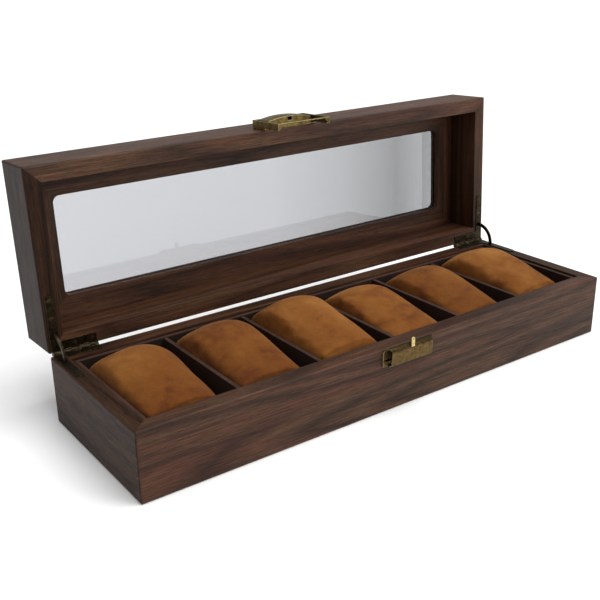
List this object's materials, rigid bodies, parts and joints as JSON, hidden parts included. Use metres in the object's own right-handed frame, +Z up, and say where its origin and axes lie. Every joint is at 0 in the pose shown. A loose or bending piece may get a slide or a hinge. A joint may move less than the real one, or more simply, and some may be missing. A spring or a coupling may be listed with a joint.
{
  "type": "watch box",
  "caption": "Long wood-grain watch box with suede cushions in divided places, a hinged glass-window lid on quadrant stop hinges and a sprung snap latch.",
  "frame": {"origin": "centre of the underside, on the surface that the box stands on", "axes": "+X to the right along the box's length, +Y to the rear where the hinges are, +Z up"},
  "size_m": [0.33, 0.1435, 0.1471],
  "materials": {
    "wood_grain_film": "dark walnut-grain film on MDF, satin, embossed pores",
    "tray_lining": "dark brown flocked paper on board",
    "raw_board": "plain MDF",
    "felt": "black needle felt",
    "window_glass": "clear float glass",
    "antique_bronze": "antique bronze plate, darkened in the hollows, rubbed bright on the edges",
    "brass_fixings": "dull brass",
    "bright_brass": "bright brass",
    "camel_suede": "camel suede with a short nap over foam"
  },
  "bodies": {
    "base": {"base_front_wall": "wood_grain_film", "base_rear_wall": "wood_grain_film", "base_left_wall": "wood_grain_film", "base_right_wall": "wood_grain_film", "bottom_board": "raw_board", "bottom_felt": "felt", "tray_floor": "tray_lining", "liner_front": "tray_lining", "liner_rear": "tray_lining", "liner_left": "tray_lining", "liner_right": "tray_lining", "divider_1": "tray_lining", "divider_2": "tray_lining", "divider_3": "tray_lining", "divider_4": "tray_lining", "divider_5": "tray_lining", "hinge_base_leaf_left": "antique_bronze", "hinge_base_leaf_right": "antique_bronze", "hinge_pin_left": "antique_bronze", "hinge_pin_right": "antique_bronze", "base_hinge_screws": "brass_fixings", "latch_back_plate": "antique_bronze", "latch_nails": "brass_fixings"},
    "lid": {"lid_front_wall": "wood_grain_film", "lid_rear_wall": "wood_grain_film", "lid_left_wall": "wood_grain_film", "lid_right_wall": "wood_grain_film", "lid_top_frame": "wood_grain_film", "lid_glass": "window_glass", "lid_inner_frame": "wood_grain_film", "hinge_lid_leaf_left": "antique_bronze", "hinge_lid_leaf_right": "antique_bronze", "lid_hinge_screws": "brass_fixings", "catch_cover": "antique_bronze", "catch_frame": "antique_bronze", "catch_nails": "brass_fixings"},
    "arm_left": {"quadrant_arm_left": "antique_bronze"},
    "arm_right": {"quadrant_arm_right": "antique_bronze"},
    "push_plate": {"latch_push_plate": "antique_bronze", "latch_hook": "bright_brass"},
    "cushion_1": {"cushion_1": "camel_suede"},
    "cushion_2": {"cushion_2": "camel_suede"},
    "cushion_3": {"cushion_3": "camel_suede"},
    "cushion_4": {"cushion_4": "camel_suede"},
    "cushion_5": {"cushion_5": "camel_suede"},
    "cushion_6": {"cushion_6": "camel_suede"}
  },
  "joints": [
    {"name": "lid_hinge", "type": "hinge", "parent": "base", "child": "lid", "pos_m": [0, 0.0511, 0.0392], "axis": [-1, 0, 0], "range_deg": [-93, 0]},
    {"name": "arm_left_swing", "type": "hinge", "parent": "base", "child": "arm_left", "pos_m": [0, 0.0511, 0.0392], "axis": [-1, 0, 0], "range_deg": [-46.5, 0]},
    {"name": "arm_right_swing", "type": "hinge", "parent": "base", "child": "arm_right", "pos_m": [0, 0.0511, 0.0392], "axis": [-1, 0, 0], "range_deg": [-46.5, 0]},
    {"name": "push_plate_press", "type": "hinge", "parent": "base", "child": "push_plate", "pos_m": [-0.0005, -0.05095, 0.0367], "axis": [1, 0, 0], "range_deg": [0, 8], "stiffness_Nm_per_rad": 0.2},
    {"name": "cushion_1_lift", "type": "slide", "parent": "base", "child": "cushion_1", "axis": [0, 0, 1], "range_m": [0, 0.05]},
    {"name": "cushion_2_lift", "type": "slide", "parent": "base", "child": "cushion_2", "axis": [0, 0, 1], "range_m": [0, 0.05]},
    {"name": "cushion_3_lift", "type": "slide", "parent": "base", "child": "cushion_3", "axis": [0, 0, 1], "range_m": [0, 0.05]},
    {"name": "cushion_4_lift", "type": "slide", "parent": "base", "child": "cushion_4", "axis": [0, 0, 1], "range_m": [0, 0.05]},
    {"name": "cushion_5_lift", "type": "slide", "parent": "base", "child": "cushion_5", "axis": [0, 0, 1], "range_m": [0, 0.05]},
    {"name": "cushion_6_lift", "type": "slide", "parent": "base", "child": "cushion_6", "axis": [0, 0, 1], "range_m": [0, 0.05]}
  ],
  "couplings": [
    {"joint": "arm_left_swing", "follows": "lid_hinge", "ratio": 0.5},
    {"joint": "arm_right_swing", "follows": "lid_hinge", "ratio": 0.5}
  ]
}
